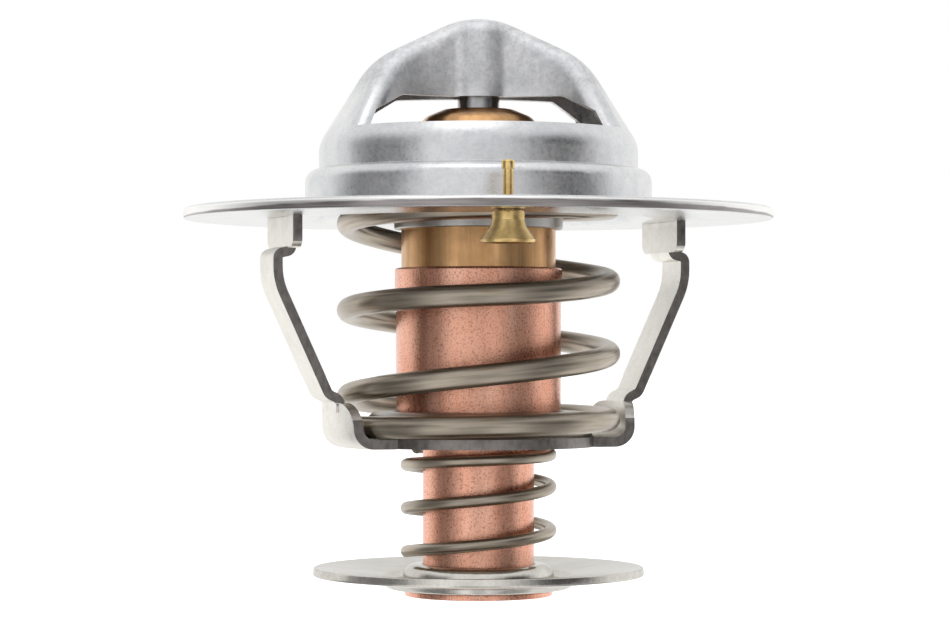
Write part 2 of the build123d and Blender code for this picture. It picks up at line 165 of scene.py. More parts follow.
def shade(mesh, sharp):
    """Smooth shading, apart from edges sharper than the given angle in degrees."""
    mesh.shade_smooth()
    mesh.set_sharp_from_angle(angle=radians(sharp))


def finish_mesh(name, mesh, finishes):
    """An object at the origin, with its finishes, from a mesh in metres."""
    mesh.validate()
    shade(mesh, 35)
    piece = bpy.data.objects.new(name, mesh)
    bpy.context.scene.collection.objects.link(piece)
    for finish in finishes:
        mesh.materials.append(finish)
    return piece


def made_plain(piece):
    """Replaces a piece by the plain mesh that its modifiers give."""
    graph = bpy.context.evaluated_depsgraph_get()
    mesh = bpy.data.meshes.new_from_object(piece.evaluated_get(graph))
    piece.modifiers.clear()
    piece.data = mesh
    return piece


def lathe(name, outline, finish, segments=256, centre=(0, 0), closed=False):
    """Turns an outline of (radius, height) points round the vertical axis through centre."""
    mesh = bpy.data.meshes.new(name)
    work = bmesh.new()
    rings = []
    for radius, height in outline:
        if radius < 1e-6:
            rings.append([work.verts.new((centre[0] * MM, centre[1] * MM, height * MM))])
            continue
        ring = []
        for number in range(segments):
            angle = 2 * pi * number / segments
            ring.append(work.verts.new((
                (centre[0] + radius * cos(angle)) * MM,
                (centre[1] + radius * sin(angle)) * MM,
                height * MM,
            )))
        rings.append(ring)
    pairs = list(zip(rings, rings[1:]))
    if closed:
        pairs.append((rings[-1], rings[0]))
    for low, high in pairs:
        for number in range(segments):
            after = (number + 1) % segments
            if len(low) == 1:
                work.faces.new((low[0], high[number], high[after]))
            elif len(high) == 1:
                work.faces.new((low[number], high[0], low[after]))
            else:
                work.faces.new((low[number], high[number], high[after], low[after]))
    bmesh.ops.remove_doubles(work, verts=work.verts, dist=1e-8)
    bmesh.ops.recalc_face_normals(work, faces=work.faces)
    work.to_mesh(mesh)
    work.free()
    return finish_mesh(name, mesh, [finish])


def round_rim(work, radius, height, width, segments):
    """Rounds the circular edge of the given radius and height."""
    def on_rim(vert):
        at_radius = abs(vert.co.xy.length - radius * MM) < 0.03 * MM
        return at_radius and abs(vert.co.z - height * MM) < 0.01 * MM

    ring = [edge for edge in work.edges if all(on_rim(vert) for vert in edge.verts)]
    bmesh.ops.bevel(work, geom=ring, offset=width * MM, offset_type="OFFSET",
                    segments=segments, profile=0.5, affect="EDGES", clamp_overlap=False)


def from_node(name, node, finishes, finish_number, bevel, rims=(), split_at=None):
    """A copy of a CAD node's shape with its edges softly rounded.

    finish_number gives the number of the finish that a face takes. Each rim is
    (radius, height, width, segments). Faces are split at a height, where one is given.
    """
    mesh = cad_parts[node].data.copy()
    mesh.name = name
    mesh.materials.clear()
    work = bmesh.new()
    work.from_mesh(mesh)
    for layer in list(work.loops.layers.uv):
        work.loops.layers.uv.remove(layer)
    bmesh.ops.remove_doubles(work, verts=work.verts, dist=2e-7)
    bmesh.ops.dissolve_limit(work, angle_limit=radians(0.4), verts=work.verts,
                             edges=work.edges)
    for rim in rims:
        round_rim(work, *rim)
    if split_at is not None:
        bmesh.ops.bisect_plane(work, geom=[*work.verts, *work.edges, *work.faces],
                               plane_co=(0, 0, split_at * MM), plane_no=(0, 0, 1))
    work.normal_update()
    for face in work.faces:
        face.smooth = True
        face.material_index = finish_number(face)
    work.to_mesh(mesh)
    work.free()
    piece = finish_mesh(name, mesh, finishes)
    soften = piece.modifiers.new("soft_edges", "BEVEL")
    soften.width = bevel * MM
    soften.segments = 2
    soften.limit_method = "ANGLE"
    soften.angle_limit = radians(38)
    soften.use_clamp_overlap = True
    soften.harden_normals = False
    return made_plain(piece)


# =====================================================================================
# Nodes
# =====================================================================================
class Nodes:
    """Adds nodes to a node tree and joins them."""

    def __init__(self, tree):
        self.nodes, self.links = tree.nodes, tree.links

    def new(self, kind, **settings):
        node = self.nodes.new(kind)
        for name, value in settings.items():
            setattr(node, name, value)
        return node

    def put(self, value, socket):
        """Gives a socket a number, a colour, or what another socket gives."""
        if isinstance(value, (int, float)):
            socket.default_value = value
        elif isinstance(value, tuple):
            socket.default_value = (*value, 1)
        else:
            self.links.new(value, socket)

    def fill(self, node, **values):
        """Fills a node's named inputs and gives its first output, where it has one."""
        for name, value in values.items():
            self.put(value, node.inputs[name.replace("_", " ")])
        return node.outputs[0] if node.outputs else None

    def maths(self, operation, *values):
        node = self.new("ShaderNodeMath", operation=operation)
        for value, socket in zip(values, node.inputs):
            self.put(value, socket)
        return node.outputs[0]

    def mix(self, share, first, second, kind="Color", blend="MIX"):
        """Mixes two colours, or two numbers where the kind is Float, by a share."""
        data_type = "RGBA" if kind == "Color" else "FLOAT"
        node = self.new("ShaderNodeMix", data_type=data_type, blend_type=blend)
        sockets = {socket.identifier: socket for socket in (*node.inputs, *node.outputs)}
        self.put(share, sockets["Factor_Float"])
        self.put(first, sockets["A_" + kind])
        self.put(second, sockets["B_" + kind])
        return sockets["Result_" + kind]

    def smooth(self, value, start, end, low, high):
        """A smooth change from low to high as the value goes from start to end."""
        node = self.new("ShaderNodeMapRange", interpolation_type="SMOOTHSTEP")
        return self.fill(node, From_Min=start, From_Max=end, To_Min=low, To_Max=high, Value=value)


# =====================================================================================
# Coil springs, by geometry nodes
# =====================================================================================
coil_lengths = ("Mean Radius", "Wire Radius", "Bottom", "Top", "Flat Pitch", "Sag")
coil_numbers = ("Turns", "Start Angle", "Low Flat Turns", "High Flat Turns", "Ramp Turns",
                "Sag Turn", "Sag Span")
steps_in_a_turn = 72
wire_sides = 24


def coil_tree():
    """The node tree that winds a round wire into a spring with flat end turns."""
    tree = bpy.data.node_groups.new("wind_spring", "GeometryNodeTree")
    sockets = [("Geometry", "Geometry")] + [(label, "Float") for label in
                                            coil_lengths + coil_numbers]
    for label, kind in sockets + [("Steps", "Int"), ("Finish", "Material")]:
        tree.interface.new_socket(label, in_out="INPUT", socket_type="NodeSocket" + kind)
    tree.interface.new_socket("Geometry", in_out="OUTPUT", socket_type="NodeSocketGeometry")
    made = Nodes(tree)
    maths = made.maths
    given = made.new("NodeGroupInput").outputs
    turns, ramp_turns = given["Turns"], given["Ramp Turns"]

    def risen(turn, begins):
        """How much open pitch has built up since the turn where a ramp begins."""
        past = maths("SUBTRACT", turn, begins)
        share = maths("DIVIDE", past, ramp_turns)
        share = maths("MINIMUM", maths("MAXIMUM", share, 0.0), 1.0)
        in_ramp = maths("MULTIPLY", maths("MULTIPLY", share, share),
                        maths("MULTIPLY", ramp_turns, 0.5))
        beyond = maths("MAXIMUM", maths("SUBTRACT", past, ramp_turns), 0.0)
        return maths("ADD", in_ramp, beyond)

    # With fewer than no low flat turns, the low end is cut open and its pitch starts at once.
    opening = given["Low Flat Turns"]
    closing = maths("SUBTRACT", maths("SUBTRACT", turns, given["High Flat Turns"]), ramp_turns)

    def open_turns(turn):
        return maths("SUBTRACT", risen(turn, opening), risen(turn, closing))

    line = made.new("GeometryNodeCurvePrimitiveLine").outputs["Curve"]
    dots = made.fill(made.new("GeometryNodeResampleCurve"), Curve=line, Count=given["Steps"])
    spline = made.new("GeometryNodeSplineParameter")
    turn = maths("MULTIPLY", spline.outputs["Factor"], turns)
    climb = maths("SUBTRACT", maths("SUBTRACT", given["Top"], given["Bottom"]),
                  maths("MULTIPLY", given["Flat Pitch"], turns))
    extra_pitch = maths("DIVIDE", climb, open_turns(turns))
    height = maths("ADD", given["Bottom"], maths(
        "ADD", maths("MULTIPLY", given["Flat Pitch"], turn),
        maths("MULTIPLY", extra_pitch, open_turns(turn))))
    # One turn may hang a little lower than an even pitch would put it.
    off = maths("DIVIDE", maths("SUBTRACT", turn, given["Sag Turn"]), given["Sag Span"])
    square = maths("MULTIPLY", off, off)
    share = maths("DIVIDE", 1.0, maths("ADD", 1.0, maths("MULTIPLY", square, square)))
    sagged = maths("SUBTRACT", height, maths("MULTIPLY", given["Sag"], share))
    angle = maths("ADD", given["Start Angle"], maths("MULTIPLY", turn, 2 * pi))
    spot = made.fill(
        made.new("ShaderNodeCombineXYZ"),
        X=maths("MULTIPLY", given["Mean Radius"], maths("COSINE", angle)),
        Y=maths("MULTIPLY", given["Mean Radius"], maths("SINE", angle)), Z=sagged)
    path = made.fill(made.new("GeometryNodeSetPosition"), Geometry=dots, Position=spot)
    path = made.fill(made.new("GeometryNodeSetCurveNormal", mode="Z_UP"), Curve=path)

    # The wire keeps its length and the place round its section for the finish's fine lines.
    along = made.new("GeometryNodeCaptureAttribute")
    along.capture_items.new("FLOAT", "Along")
    made.fill(along, Geometry=path, Along=spline.outputs["Length"])
    ring = made.new("GeometryNodeCurvePrimitiveCircle")
    made.fill(ring, Resolution=wire_sides, Radius=given["Wire Radius"])
    around = made.new("GeometryNodeCaptureAttribute")
    around.capture_items.new("VECTOR", "Around")
    made.fill(around, Geometry=ring.outputs["Curve"],
              Around=made.new("GeometryNodeInputPosition").outputs[0])
    wire = made.new("GeometryNodeCurveToMesh")
    wire.inputs["Fill Caps"].default_value = True
    made.fill(wire, Curve=along.outputs["Geometry"], Profile_Curve=around.outputs["Geometry"])
    section = made.new("ShaderNodeSeparateXYZ")
    made.fill(section, Vector=around.outputs["Around"])
    wire_place = made.fill(made.new("ShaderNodeCombineXYZ"), X=section.outputs[0],
                           Y=section.outputs[1], Z=along.outputs["Along"])
    store = made.new("GeometryNodeStoreNamedAttribute", data_type="FLOAT_VECTOR",
                     domain="POINT")
    store.inputs["Name"].default_value = "wire_place"
    shape = made.fill(store, Geometry=wire.outputs["Mesh"], Value=wire_place)
    shape = made.fill(made.new("GeometryNodeSetShadeSmooth"), Geometry=shape)
    shape = made.fill(made.new("GeometryNodeRealizeInstances"), Geometry=shape)
    shape = made.fill(made.new("GeometryNodeSetMaterial"), Geometry=shape,
                      Material=given["Finish"])
    made.fill(made.new("NodeGroupOutput"), Geometry=shape)
    return tree


def wind_spring(name, tree, finish, **sizes):
    """A spring wound by the tree, as a plain mesh. Lengths are given in millimetres."""
    piece = bpy.data.objects.new(name, bpy.data.meshes.new(name))
    bpy.context.scene.collection.objects.link(piece)
    winder = piece.modifiers.new("wind", "NODES")
    winder.node_group = tree
    given = {label: value * MM if label in coil_lengths else value
             for label, value in sizes.items()}
    given["Finish"] = finish
    given["Steps"] = round(sizes["Turns"] * steps_in_a_turn)
    for socket in tree.interface.items_tree:
        if socket.in_out == "INPUT" and socket.name in given:
            winder[socket.identifier] = given[socket.name]
    made_plain(piece)
    shade(piece.data, 50)
    return piece


# =====================================================================================
# Finishes
# =====================================================================================
class Finish(Nodes):
    """A metal or rubber finish built from noise on Object coordinates."""

    def __init__(self, name, colour, roughness, metallic=1.0):
        self.material = bpy.data.materials.new(name)
        self.material.use_nodes = True
        super().__init__(self.material.node_tree)
        self.nodes.clear()
        self.shader = self.new("ShaderNodeBsdfPrincipled")
        self.fill(self.shader, Base_Color=colour, Roughness=roughness, Metallic=metallic)
        self.fill(self.new("ShaderNodeOutputMaterial"), Surface=self.shader.outputs[0])
        self.coordinates = self.new("ShaderNodeTexCoord").outputs["Object"]

    def noise(self, per_mm, detail=3.0, roughness=0.55, stretch=(1, 1, 1), place=None,
              distortion=0.0):
        """A grey noise with the given number of cells in a millimetre."""
        mapping = self.new("ShaderNodeMapping")
        mapping.inputs["Scale"].default_value = tuple(per_mm / MM * part for part in stretch)
        vector = self.fill(mapping, Vector=place or self.coordinates)
        node = self.new("ShaderNodeTexNoise")
        self.fill(node, Scale=1.0, Detail=detail, Roughness=roughness, Distortion=distortion,
                  Vector=vector)
        return node.outputs["Fac"]

    def ramp(self, value, *stops):
        """A grey ramp through two (position, level) stops."""
        node = self.new("ShaderNodeValToRGB")
        for element, (position, level) in zip(node.color_ramp.elements, stops):
            element.position = position
            element.color = (level, level, level, 1)
        return self.fill(node, Fac=value)

    def times(self, tone, factor):
        """A colour darkened or lightened by a grey factor."""
        return self.mix(1.0, tone, factor, blend="MULTIPLY")

    def parts(self):
        """The three parts of the Object coordinates, in metres."""
        node = self.new("ShaderNodeSeparateXYZ")
        self.fill(node, Vector=self.coordinates)
        return node.outputs

    def colour(self, value):
        self.fill(self.shader, Base_Color=value)

    def rough(self, value):
        self.fill(self.shader, Roughness=value)

    def bump(self, value, depth, strength=1.0, after=None):
        """Adds a bump of the given depth in millimetres."""
        node = self.new("ShaderNodeBump")
        normal = self.fill(node, Strength=strength, Distance=depth * MM, Height=value)
        if after is not None:
            self.fill(node, Normal=after)
        self.fill(self.shader, Normal=normal)
        return normal


def mottled_steel(name, light, dark, rough_low=0.25, rough_high=0.48, cloud=0.35, grain=3.0,
                  grazing=1.0, drawn_above=None):
    """Plated sheet with soft cloudy patches and a fine pressed grain.

    A grazing value below one dulls it at a flat angle. Above the drawn height the metal is
    stretched and rougher.
    """
    made = Finish(name, light, rough_low)
    made.fill(made.shader, Specular_Tint=(grazing, grazing, grazing * 0.97))
    clouds = made.noise(cloud, detail=4.0, roughness=0.6, distortion=0.4)
    fine = made.noise(grain, detail=3.0, roughness=0.6)
    base = made.mix(made.ramp(clouds, (0.32, 0.0), (0.68, 1.0)), dark, light)
    flecks = made.ramp(fine, (0.30, 0.80), (0.55, 1.0))
    base = made.mix(0.55, base, made.times(base, flecks))
    rough = made.maths("MULTIPLY_ADD", clouds, rough_high - rough_low, rough_low)
    if drawn_above is not None:
        height = made.maths("MULTIPLY", made.parts()[2], 1 / MM)
        above = made.maths("SUBTRACT", height, drawn_above)
        drawn = made.ramp(made.maths("MULTIPLY", above, 0.5), (0.0, 0.0), (1.0, 1.0))
        skin = made.noise(1.5, detail=6.0, roughness=0.7)
        worn = made.ramp(skin, (0.34, 0.93), (0.66, 1.14))
        base = made.mix(drawn, base, made.times(base, worn))
        rough = made.maths("ADD", rough, made.maths("MULTIPLY", drawn, 0.26))
    made.colour(base)
    uneven = made.maths("MULTIPLY", made.maths("SUBTRACT", fine, 0.5), 0.18)
    made.rough(made.maths("ADD", rough, uneven))
    waves = made.bump(made.noise(cloud * 2.2, detail=2.0), 0.05, 0.5)
    made.bump(fine, 0.012, 0.5, after=waves)
    return made.material


def sheared_steel(name, colour, rim_highlight=None):
    """The cut edge of a pressed sheet, with short streaks.

    On the flange's rim the upper zone is painted near-white as a highlight, and this painted
    highlight reaches lower at the sides. The cut edges over the windows lie above it and are
    painted with the highlight all over.
    """
    made = Finish(name, colour, 0.4)
    streaks = made.noise(1.6, detail=3.0, stretch=(0.12, 0.12, 2.2) if rim_highlight else (1, 1, 0.6))
    dark = tuple(part * 0.62 for part in colour)
    tone = made.mix(made.ramp(streaks, (0.32, 0.0), (0.62, 1.0)), dark, colour)
    # Painted highlight: the rim's upper zone is mixed to a near-white colour, down to a height
    # that is lowest at the flange's sides.
    if rim_highlight:
        parts = made.parts()
        front = made.maths("DIVIDE", made.maths("ABSOLUTE", parts[1]), flange_half * MM)
        highlight_bottom = made.maths("MULTIPLY_ADD", made.maths("MULTIPLY", front, front), 0.52, 0.14)
        ragged = made.maths("MULTIPLY_ADD", streaks, 0.3, -0.15)
        height = made.maths("MULTIPLY", parts[2], 1 / MM)
        above = made.maths("SUBTRACT", made.maths("ADD", height, ragged), highlight_bottom)
        tone = made.mix(made.ramp(above, (0.0, 0.0), (0.12, 1.0)), tone, rim_highlight)
    made.colour(tone)
    made.rough(made.maths("MULTIPLY_ADD", streaks, 0.25, 0.25))
    made.bump(streaks, 0.01, 0.5)
    return made.material


def bare_copper(name, light, dark):
    """Drawn copper with a fine granular skin and vertical draw marks."""
    made = Finish(name, light, 0.36)
    streaks = made.noise(1.1, detail=4.0, roughness=0.6, stretch=(1, 1, 0.04))
    grains = made.noise(5.5, detail=3.0, roughness=0.7)
    blotches = made.noise(0.45, detail=4.0, roughness=0.6, stretch=(1, 1, 0.3))
    tone = made.mix(made.ramp(blotches, (0.3, 0.0), (0.7, 1.0)), dark, light)
    dots = made.ramp(grains, (0.37, 0.34), (0.48, 1.0))
    tone = made.mix(0.75, tone, made.times(tone, dots))
    lines = made.ramp(streaks, (0.38, 0.7), (0.58, 1.0))
    made.colour(made.mix(0.4, tone, made.times(tone, lines)))
    rough = made.maths("MULTIPLY_ADD", streaks, 0.14, 0.15)
    made.rough(made.maths("ADD", rough, made.maths("MULTIPLY", grains, 0.10)))
    marks = made.bump(streaks, 0.012, 0.4)
    made.bump(grains, 0.03, 0.6, after=marks)
    return made.material


def turned_brass(name, light, dark, rough, streak=(1, 1, 0.05)):
    """Turned or drawn brass with a dull film in streaks."""
    made = Finish(name, light, rough)
    streaks = made.noise(0.8, detail=4.0, roughness=0.65, stretch=streak)
    film = made.noise(0.45, detail=4.0, roughness=0.6)
    tone = made.mix(made.ramp(streaks, (0.32, 0.0), (0.64, 1.0)), dark, light)
    made.colour(made.mix(made.ramp(film, (0.35, 0.0), (0.7, 0.5)), tone, dark))
    made.rough(made.maths("MULTIPLY_ADD", film, 0.25, rough - 0.08))
    made.bump(made.noise(3.0, detail=2.0), 0.012, 0.5)
    return made.material


def drawn_wire(name, light, dark):
    """Spring wire with fine lines along its length."""
    made = Finish(name, light, 0.32)
    wire_place = made.new("ShaderNodeAttribute", attribute_name="wire_place").outputs["Vector"]
    lines = made.noise(2.4, detail=3.0, stretch=(1, 1, 0.06), place=wire_place)
    patches = made.noise(0.16, detail=3.0, stretch=(2, 2, 1), place=wire_place)
    tone = made.mix(made.ramp(lines, (0.34, 0.0), (0.62, 1.0)), dark, light)
    made.colour(made.mix(made.ramp(patches, (0.4, 0.0), (0.72, 0.55)), tone, dark))
    made.rough(made.maths("MULTIPLY_ADD", lines, 0.2, 0.22))
    made.bump(lines, 0.012, 0.5)
    return made.material


def matt_rubber(name, colour):
    """A moulded matt body, such as rubber, wax or polymer, with a faint grain."""
    made = Finish(name, colour, 0.7, metallic=0.0)
    grain = made.noise(4.0, detail=3.0)
    made.colour(made.mix(grain, tuple(part * 0.6 for part in colour), colour))
    made.rough(made.maths("MULTIPLY_ADD", grain, 0.25, 0.55))
    made.bump(grain, 0.01, 0.5)
    return made.material


plated_sheet = mottled_steel("plated_sheet", (0.78, 0.78, 0.79), (0.62, 0.63, 0.65),
                             rough_low=0.24, rough_high=0.36, drawn_above=drawn_height)
bracket_steel = mottled_steel("bracket_steel", (0.90, 0.88, 0.835), (0.74, 0.71, 0.66),
                              cloud=0.6, grain=4.0)
bypass_steel = mottled_steel("bypass_steel", (0.74, 0.715, 0.67), (0.58, 0.555, 0.51),
                             rough_low=0.10, rough_high=0.22, grazing=0.72)
# Painted shade: a darker copy of the bracket's steel for the boss inside the spring, round the
# case.
boss_shade_steel = mottled_steel("boss_shade_steel", (0.48, 0.45, 0.43), (0.34, 0.32, 0.30))
valve_steel = mottled_steel("valve_steel", (0.55, 0.54, 0.52), (0.38, 0.37, 0.36))
cut_edge = sheared_steel("cut_edge", (0.29, 0.265, 0.25))
# The rim's painted highlight colour is the near-white one.
highlit_rim_edge = sheared_steel("highlit_rim_edge", (0.42, 0.39, 0.385), rim_highlight=(0.95, 0.94, 0.93))
case_copper = bare_copper("case_copper", (0.96, 0.53, 0.39), (0.82, 0.375, 0.25))
guide_brass = turned_brass("guide_brass", (0.80, 0.47, 0.22), (0.44, 0.25, 0.12), 0.26)
pin_brass = turned_brass("pin_brass", (0.93, 0.68, 0.30), (0.60, 0.40, 0.155), 0.22,
                         streak=(1, 1, 1))
spring_steel = drawn_wire("spring_steel", (0.52, 0.455, 0.37), (0.30, 0.26, 0.21))
piston_steel = mottled_steel("piston_steel", (0.45, 0.45, 0.46), (0.30, 0.30, 0.31),
                             rough_low=0.15, rough_high=0.3)
seal_rubber = matt_rubber("seal_rubber", (0.03, 0.03, 0.03))
wax_body = matt_rubber("wax_body", (0.75, 0.52, 0.33))
disc_polymer = matt_rubber("disc_polymer", (0.80, 0.79, 0.75))


# =====================================================================================
# Pieces
# =====================================================================================
def place(piece, body, slot, *nodes):
    """Rides a finished piece on its body, in place of its CAD nodes."""
    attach(piece, body)
    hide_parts(*nodes)


def frame_cut(face):
    """Gives 1, the finish with the painted rim highlight, to the flange's sheared rim and to the
    cut edges over the windows.
    """
    middle = face.calc_center_median() / MM
    if middle.xy.length > flange_half - 0.1:
        return int(abs(face.normal.z) < 0.6)
    over_window = window_low < middle.z < window_high
    return int(over_window and face.normal.z < -0.3 and abs(face.normal.y) < 0.2)


def bracket_cut(face):
    """Gives 1 to the strip's cut edges and 2 to the boss round the case, which is painted darker
    as shade where it lies inside the spring round the case.

    The cut edges face across the arms, or outward where the strap is round. The seams over
    the feet keep the plated finish.
    """
    across = Vector((-sin(bracket_turn), cos(bracket_turn), 0))
    middle = face.calc_center_median() / MM
    if middle.xy.length < boss_half and middle.z > boss_low:
        return 2
    at_strap_edge = abs(middle.xy.length - strap_edge_half) < 0.3 and middle.z < strap_edge_top
    on_round = at_strap_edge and abs(face.normal.z) < 0.3
    in_seam = foot_seam_low < middle.z < foot_seam_high
    on_seam = in_seam and abs(middle.dot(across)) < foot_seam_half
    return int((abs(face.normal.dot(across)) > 0.9 or on_round) and not on_seam)


frame_shell = from_node(
    "frame_shell", "frame", [plated_sheet, highlit_rim_edge], frame_cut, bevel=0.07,
    rims=[(flange_half, flange_sheet, 0.42, 5), (flange_half, 0, 0.26, 4)])
place(frame_shell, "frame", "plated_sheet", "frame")

bracket_strip = from_node(
    "bracket_strip", "bracket", [bracket_steel, cut_edge, boss_shade_steel], bracket_cut,
    bevel=0.13, split_at=foot_seam_high)
place(bracket_strip, "frame", "bracket_steel", "bracket")

piston_pin = lathe("piston_pin", bent(
    [(0, piston_low), (1.75, piston_low), (piston_half, -2.75),
     (piston_half, piston_high - piston_chamfer), (piston_half - piston_chamfer, piston_high),
     (0, piston_high)],
    [0, 0.1, 0.1, 0.1]), piston_steel, 96)
# The upper end follows the CAD piston, which stops just under the bridge's pocket.
piston_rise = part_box("piston")[1].z - piston_high * MM
for vertex in piston_pin.data.vertices:
    if vertex.co.z > piston_end_zone * MM:
        vertex.co.z += piston_rise
place(piston_pin, "frame", "piston_steel", "piston")

guide_body = lathe("guide_body", bent(
    [(bore_half, 8.0), (bore_half, guide_top), (3.3, guide_top), (5.1, 9.75),
     (guide_half, 6.6), (guide_half, guide_bottom), (bore_half, guide_bottom),
     (bore_half, 8.0)],
    [0.2, 1.2, 1.5, 1.5, 0.1, 0.1])[:-1], guide_brass, closed=True)
place(guide_body, "element", "guide_brass", "guide")

case_body = lathe("case_body", bent(
    [(0, case_floor), (mouth_bore, case_floor), (mouth_bore, mouth_top),
     (mouth_half, mouth_top), (mouth_half, -6.8), (case_half, -7.0), (case_half, case_step),
     (stem_half, case_step), (stem_half, foot_top), (foot_half, foot_top),
     (foot_half, foot_bottom), (0, foot_bottom)],
    [0, 0.1, 0.25, 0.3, 0.3, 1.0, 0.25, 0.25, 0.2, 0.2]), case_copper)
place(case_body, "element", "case_copper", "case")

valve_line = [(15.15, 3.15), (10.925, 3.15), (9.775, 2.0), (7.9, 2.0), (7.7, -0.9)]
valve_section = sheet_section(valve_line, [0.9, 0.9, 0.45], valve_sheet)
valve_disc = lathe("valve_disc", valve_section, valve_steel, 192, closed=True)
place(valve_disc, "element", "valve_steel", "valve_plate")

bypass_line = [(15.75, -33.4), (9.15, -34.15), (8.45, -34.67), (6.8, -34.67), (6.8, -33.1),
               (5.4, -33.1)]
bypass_section = sheet_section(bypass_line, [0.5, 0.5, 0.45, 0.8], bypass_sheet)
bypass_disc = lathe("bypass_disc", bypass_section, bypass_steel, closed=True)
place(bypass_disc, "bypass_valve", "bypass_steel", "bypass_plate")

winding = coil_tree()
main_coil = wind_spring("main_coil", winding, spring_steel, **{
    "Mean Radius": 12.45, "Wire Radius": 1.05, "Bottom": -19.64, "Top": 1.62,
    "Turns": 3.775, "Start Angle": radians(197), "Low Flat Turns": 0.56,
    "High Flat Turns": 0.6, "Ramp Turns": 0.35, "Flat Pitch": 1.6,
    "Sag": 1.45, "Sag Turn": 2.435, "Sag Span": 0.3})
place(main_coil, "frame", "spring_steel", "main_spring")
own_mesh(main_coil)

bypass_coil = wind_spring("bypass_coil", winding, spring_steel, **{
    "Mean Radius": 6.875, "Wire Radius": 0.575, "Bottom": -32.095, "Top": -21.805,
    "Turns": 2.9, "Start Angle": radians(180), "Low Flat Turns": -0.4,
    "High Flat Turns": 0.6, "Ramp Turns": 0.4, "Flat Pitch": 1.25,
    "Sag": 0.0, "Sag Turn": 1.0, "Sag Span": 0.3})
place(bypass_coil, "element", "spring_steel", "bypass_spring")
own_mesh(bypass_coil)

rod = lathe("pin_rod", bent(
    [(0, rod_low), (rod_end_half, rod_low), (0.62, -2.43), (rod_half, -2.43),
     (rod_half, 3.55), (rod_head_half, 3.55), (rod_head_half, rod_high), (0, rod_high)],
    [0.1, 0.05, 0.05, 0.05, 0.05, 0.22]), pin_brass, 64, centre=pin_centre)
place(rod, "jiggle_pin", "pin_brass", "jiggle_rod")
bell = lathe("pin_bell", bent(
    [(bell_bore, -1.2), (bell_bore, -0.1), (bell_neck_half, -0.1), (bell_neck_half, -0.95),
     (1.6, -1.5), (2.1, -2.2), (2.475, -2.7), (2.325, -3.0), (1.05, -2.4), (bell_bore, -2.4),
     (bell_bore, -1.2)],
    [0.05, 0.25, 0.3, 0.6, 0.6, 0.1, 0.1, 0.1, 0.05])[:-1], pin_brass, 128,
    centre=pin_centre, closed=True)
place(bell, "jiggle_pin", "pin_brass", "jiggle_weight")

# The pieces inside the element keep their CAD shapes.
for node, finish in (("rubber_plug", seal_rubber), ("diaphragm", seal_rubber),
                     ("wax", wax_body), ("backup_disc", disc_polymer)):
    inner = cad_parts[node]
    inner.data.materials.clear()
    inner.data.materials.append(finish)


# =====================================================================================
# Stage, light and camera
# =====================================================================================
# The camera stands nearly straight in front, a little to the left. Its place is in metres,
# its lens and film in millimetres, and its shifts in pixels of a picture of the given width.
camera_turn = radians(-6.5)
camera_distance = 0.286
camera_height = -0.0121
lens_length = 113.7
film_width = 36.0
picture_width = 950
shift_right = -3.5
shift_up = 30.5

# Darker gaps between the studio's white panels: bearing from the camera's side, half width
# of the darkest part, half width where the gap ends (degrees, positive to the right), and
# brightness there. Metal sees them in the walls and in the floor.
wall_gaps = ((-74, 14, 42, 0.25), (62, 8, 46, 0.09), (28, 2, 24, 0.80))
floor_gaps = ((-74, 14, 42, 0.27), (60, 8, 40, 0.36), (28, 2, 24, 0.88))
# The camera and its stand darken the part straight ahead: bearing and half widths.
camera_gap = (0, 7.5, 21)
camera_level = 0.6
# Behind the object, between these bearings, the walls grow a little brighter.
behind = (90, 150)
behind_level = 1.1
# Where each part gives way to the next, as heights of a direction of length one
floor_end = 0.09
stand_end = 0.06
sky_start = 0.3
sky_end = 0.75
floor_level = 1.12
sky_level = 0.95

floor_white = 0.8
floor_glow = 0.68
floor_reach = 3.0
# The floor leaves room for the foot at the end of the main valve's travel.
floor_gap = 0.3
floor_height = (foot_bottom - main_valve_travel - floor_gap) * MM


class Studio(Nodes):
    """Nodes that give the studio's brightness for a direction."""

    def __init__(self, tree, direction):
        super().__init__(tree)
        forward = self.share(direction, sin(camera_turn), -cos(camera_turn))
        rightward = self.share(direction, cos(camera_turn), sin(camera_turn))
        self.bearing = self.maths("MULTIPLY", self.maths("ARCTAN2", rightward, forward),
                                  180 / pi)

    def share(self, direction, x, y):
        """How far the direction points along the level direction (x, y)."""
        node = self.new("ShaderNodeVectorMath", operation="DOT_PRODUCT")
        self.put(direction, node.inputs[0])
        node.inputs[1].default_value = (x, y, 0)
        return node.outputs["Value"]

    def gap(self, middle, inner, outer, level):
        """The given level round a bearing, and one beyond the gap's outer width."""
        away = self.maths("ABSOLUTE", self.maths("SUBTRACT", self.bearing, middle))
        return self.smooth(away, inner, outer, level, 1.0)

    def walls(self, gaps):
        """The walls' brightness: white panels with darker gaps."""
        level = self.smooth(self.maths("ABSOLUTE", self.bearing), *behind, 1.0, behind_level)
        for gap in gaps:
            level = self.maths("MULTIPLY", level, self.gap(*gap))
        return level

    def straight_rays(self):
        """One for camera and transmission rays, which see plain white."""
        rays = self.new("ShaderNodeLightPath").outputs
        return self.maths("MAXIMUM", rays["Is Camera Ray"], rays["Is Transmission Ray"])


